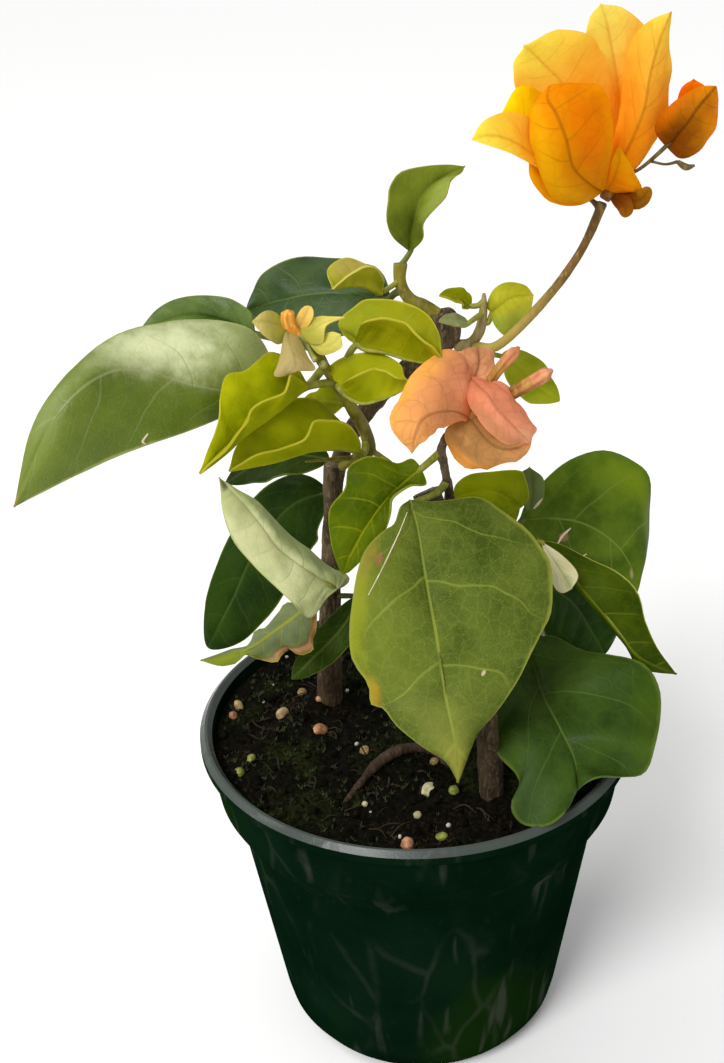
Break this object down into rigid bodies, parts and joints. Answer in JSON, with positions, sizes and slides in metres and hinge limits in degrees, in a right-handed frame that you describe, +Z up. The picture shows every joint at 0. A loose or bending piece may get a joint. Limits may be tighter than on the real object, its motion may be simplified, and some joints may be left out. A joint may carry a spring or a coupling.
{
  "type": "potted bougainvillea",
  "caption": "Young bougainvillea in a round green nursery pot: two pruned woody trunks, waved ovate leaves, a golden flower head on a long stem and a spent salmon one",
  "frame": {"origin": "centre of the pot's base, on the surface it stands on", "axes": "+Z up along the pot's axis, -Y towards the viewer of the picture, +X to the viewer's right"},
  "size_m": [0.1563, 0.114, 0.27],
  "materials": {
    "pot_plastic": "satin",
    "peat": "matte",
    "bark": "matte",
    "root_bark": "matte",
    "green_shoot": "satin",
    "leaf_green": "satin",
    "leaf_dark": "satin",
    "leaf_fresh": "satin",
    "leaf_pale": "satin",
    "gold_bract": "matte",
    "deep_gold_bract": "matte",
    "salmon_bract": "matte",
    "young_bract": "matte"
  },
  "bodies": {
    "root": {"pot": "pot_plastic", "soil": "peat", "surface_root": "root_bark", "trunk_left": "bark", "trunk_right": "bark", "shoot_left": "green_shoot", "shoot_top": "green_shoot", "shoot_right": "green_shoot", "flower_stem": "green_shoot", "leaf_left_large": "leaf_pale", "leaf_left_behind": "leaf_dark", "leaf_top_dark": "leaf_dark", "leaf_top_small": "leaf_fresh", "leaf_centre_upper": "leaf_fresh", "leaf_centre_lower": "leaf_fresh", "leaf_left_folded": "leaf_fresh", "leaf_left_low": "leaf_fresh", "leaf_fill": "leaf_fresh", "leaf_centre_green": "leaf_fresh", "leaf_front_large": "leaf_green", "leaf_right_large": "leaf_dark", "leaf_right_folded": "leaf_green", "leaf_right_pale": "leaf_pale", "leaf_right_shaded": "leaf_dark", "leaf_right_lower": "leaf_dark", "leaf_left_pale": "leaf_pale", "leaf_left_yellow": "leaf_fresh", "leaf_left_dark": "leaf_dark", "leaf_left_sliver": "leaf_dark", "leaf_trunk_dark": "leaf_dark", "leaf_middle_fresh": "leaf_fresh", "leaf_middle_shaded": "leaf_green", "leaf_knob_back": "leaf_fresh", "leaf_knob_right": "leaf_fresh", "leaf_knob_left": "leaf_fresh", "leaf_knob_lower": "leaf_pale", "leaf_upright": "leaf_green", "bloom_gold": "gold_bract", "side_bract": "deep_gold_bract", "bloom_pink": "salmon_bract", "bloom_young": "young_bract"}
  },
  "joints": []
}
